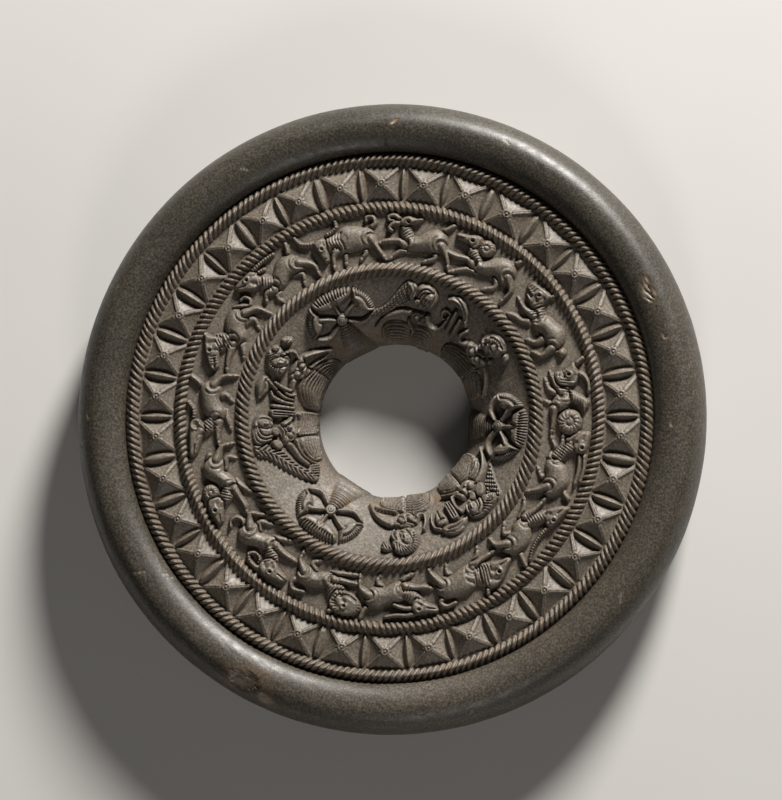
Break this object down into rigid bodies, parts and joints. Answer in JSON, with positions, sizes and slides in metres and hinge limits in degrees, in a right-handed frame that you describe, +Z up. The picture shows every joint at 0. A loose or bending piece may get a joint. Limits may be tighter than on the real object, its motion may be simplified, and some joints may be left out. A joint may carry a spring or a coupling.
{
  "type": "steatite ringstone",
  "caption": "Round carved stone ring with a bolster rim, roped borders, a band of pyramids, running animals and a frieze of figures around a wide hole.",
  "frame": {"origin": "centre of the hole at the flat underside", "axes": "+Z up out of the carved face, +Y towards the goat that looks back, X and Y across the disc"},
  "size_m": [0.12, 0.12, 0.017],
  "materials": {
    "stone": "worn polish"
  },
  "bodies": {
    "root": {"ringstone": "stone"}
  },
  "joints": []
}
